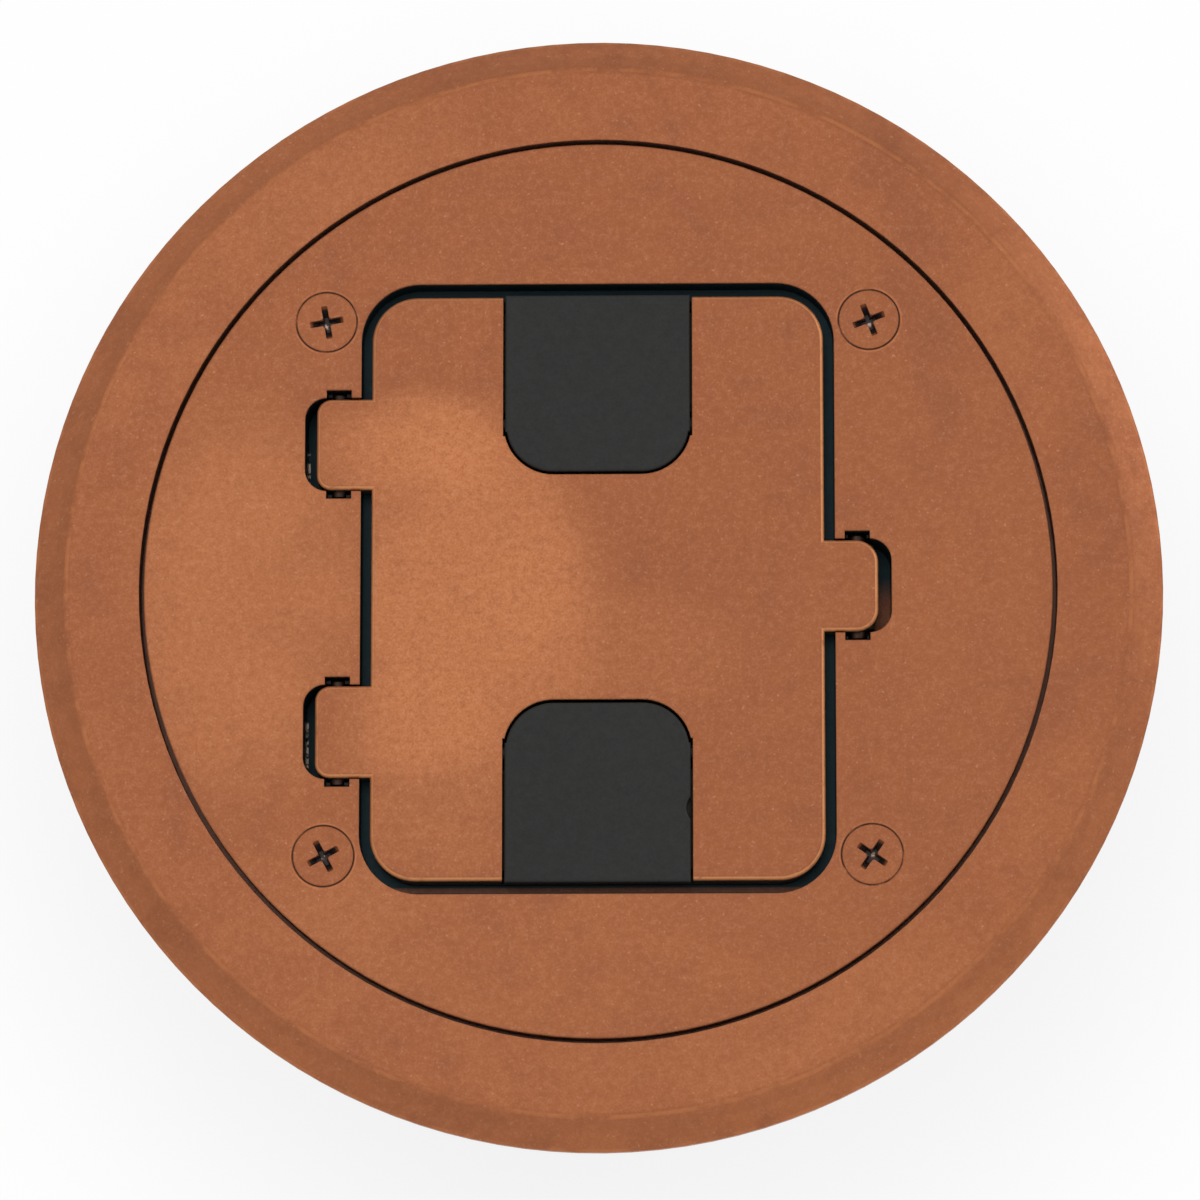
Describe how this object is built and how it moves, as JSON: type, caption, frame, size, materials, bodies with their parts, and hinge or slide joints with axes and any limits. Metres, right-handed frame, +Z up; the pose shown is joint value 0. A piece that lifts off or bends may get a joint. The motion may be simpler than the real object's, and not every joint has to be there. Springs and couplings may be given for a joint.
{
  "type": "floor socket box",
  "caption": "Round flush floor box: bevelled flange, screwed cover plate and a hinged lid with cord flaps over a recessed duplex socket outlet.",
  "frame": {"origin": "centre of the floor flange's underside, on the finished floor", "axes": "+Z up out of the floor, +Y along the lid's long side to the rear, lid hinge on the -X side"},
  "size_m": [0.1524, 0.1524, 0.091],
  "materials": {
    "bronze_finish": "satin metallic bronze, fine speckle",
    "bronze_screw": "satin metallic bronze with dark recess",
    "flap_plastic": "fine matt",
    "steel_pin": "bright drawn",
    "spring_steel": "dark tempered",
    "seal_rubber": "matt",
    "box_plastic": "moulded grey",
    "plug_plastic": "moulded grey",
    "liner_plastic": "moulded black",
    "brass_part": "machined",
    "plated_steel": "zinc plated",
    "outlet_plastic": "smooth ivory",
    "base_plastic": "moulded",
    "green_screw": "green plated"
  },
  "bodies": {
    "box": {"flange_ring": "bronze_finish", "flange_gasket": "seal_rubber", "cover_plate": "bronze_finish", "cover_gasket": "seal_rubber", "cover_screws": "bronze_screw", "lid_seal": "seal_rubber", "hinge_clip_rear": "spring_steel", "hinge_clip_front": "spring_steel", "latch_clip": "spring_steel", "clip_screws": "plated_steel", "box_body": "box_plastic", "box_floor": "box_plastic", "hub_right": "box_plastic", "hub_left": "box_plastic", "hub_rear": "box_plastic", "hub_front": "box_plastic", "boss_inserts": "brass_part", "hub_plug_rear": "plug_plastic", "hub_plug_front": "plug_plastic", "well_liner": "liner_plastic", "well_floor": "liner_plastic", "well_gasket": "seal_rubber", "liner_screw": "plated_steel", "strap_screws": "plated_steel", "receptacle_face": "outlet_plastic", "receptacle_base": "base_plastic", "receptacle_strap": "plated_steel", "housing_screws": "plated_steel", "hot_contact": "brass_part", "neutral_contact": "brass_part", "ground_contact": "brass_part", "hot_terminal_screws": "brass_part", "neutral_terminal_screws": "plated_steel", "ground_screw": "green_screw"},
    "lid": {"lid": "bronze_finish", "hinge_pin_rear": "steel_pin", "hinge_pin_front": "steel_pin", "latch_pin": "steel_pin"},
    "rear_flap": {"flap_rear": "flap_plastic"},
    "front_flap": {"flap_front": "flap_plastic"}
  },
  "joints": [
    {"name": "lid_hinge", "type": "hinge", "parent": "box", "child": "lid", "pos_m": [-0.035, 0, 0.0015], "axis": [0, -1, 0], "range_deg": [0, 98]},
    {"name": "rear_flap_hinge", "type": "hinge", "parent": "lid", "child": "rear_flap", "pos_m": [0, 0.0225, 0.0027], "axis": [1, 0, 0], "range_deg": [0, 100]},
    {"name": "front_flap_hinge", "type": "hinge", "parent": "lid", "child": "front_flap", "pos_m": [0, -0.0225, 0.0027], "axis": [-1, 0, 0], "range_deg": [0, 100]}
  ]
}
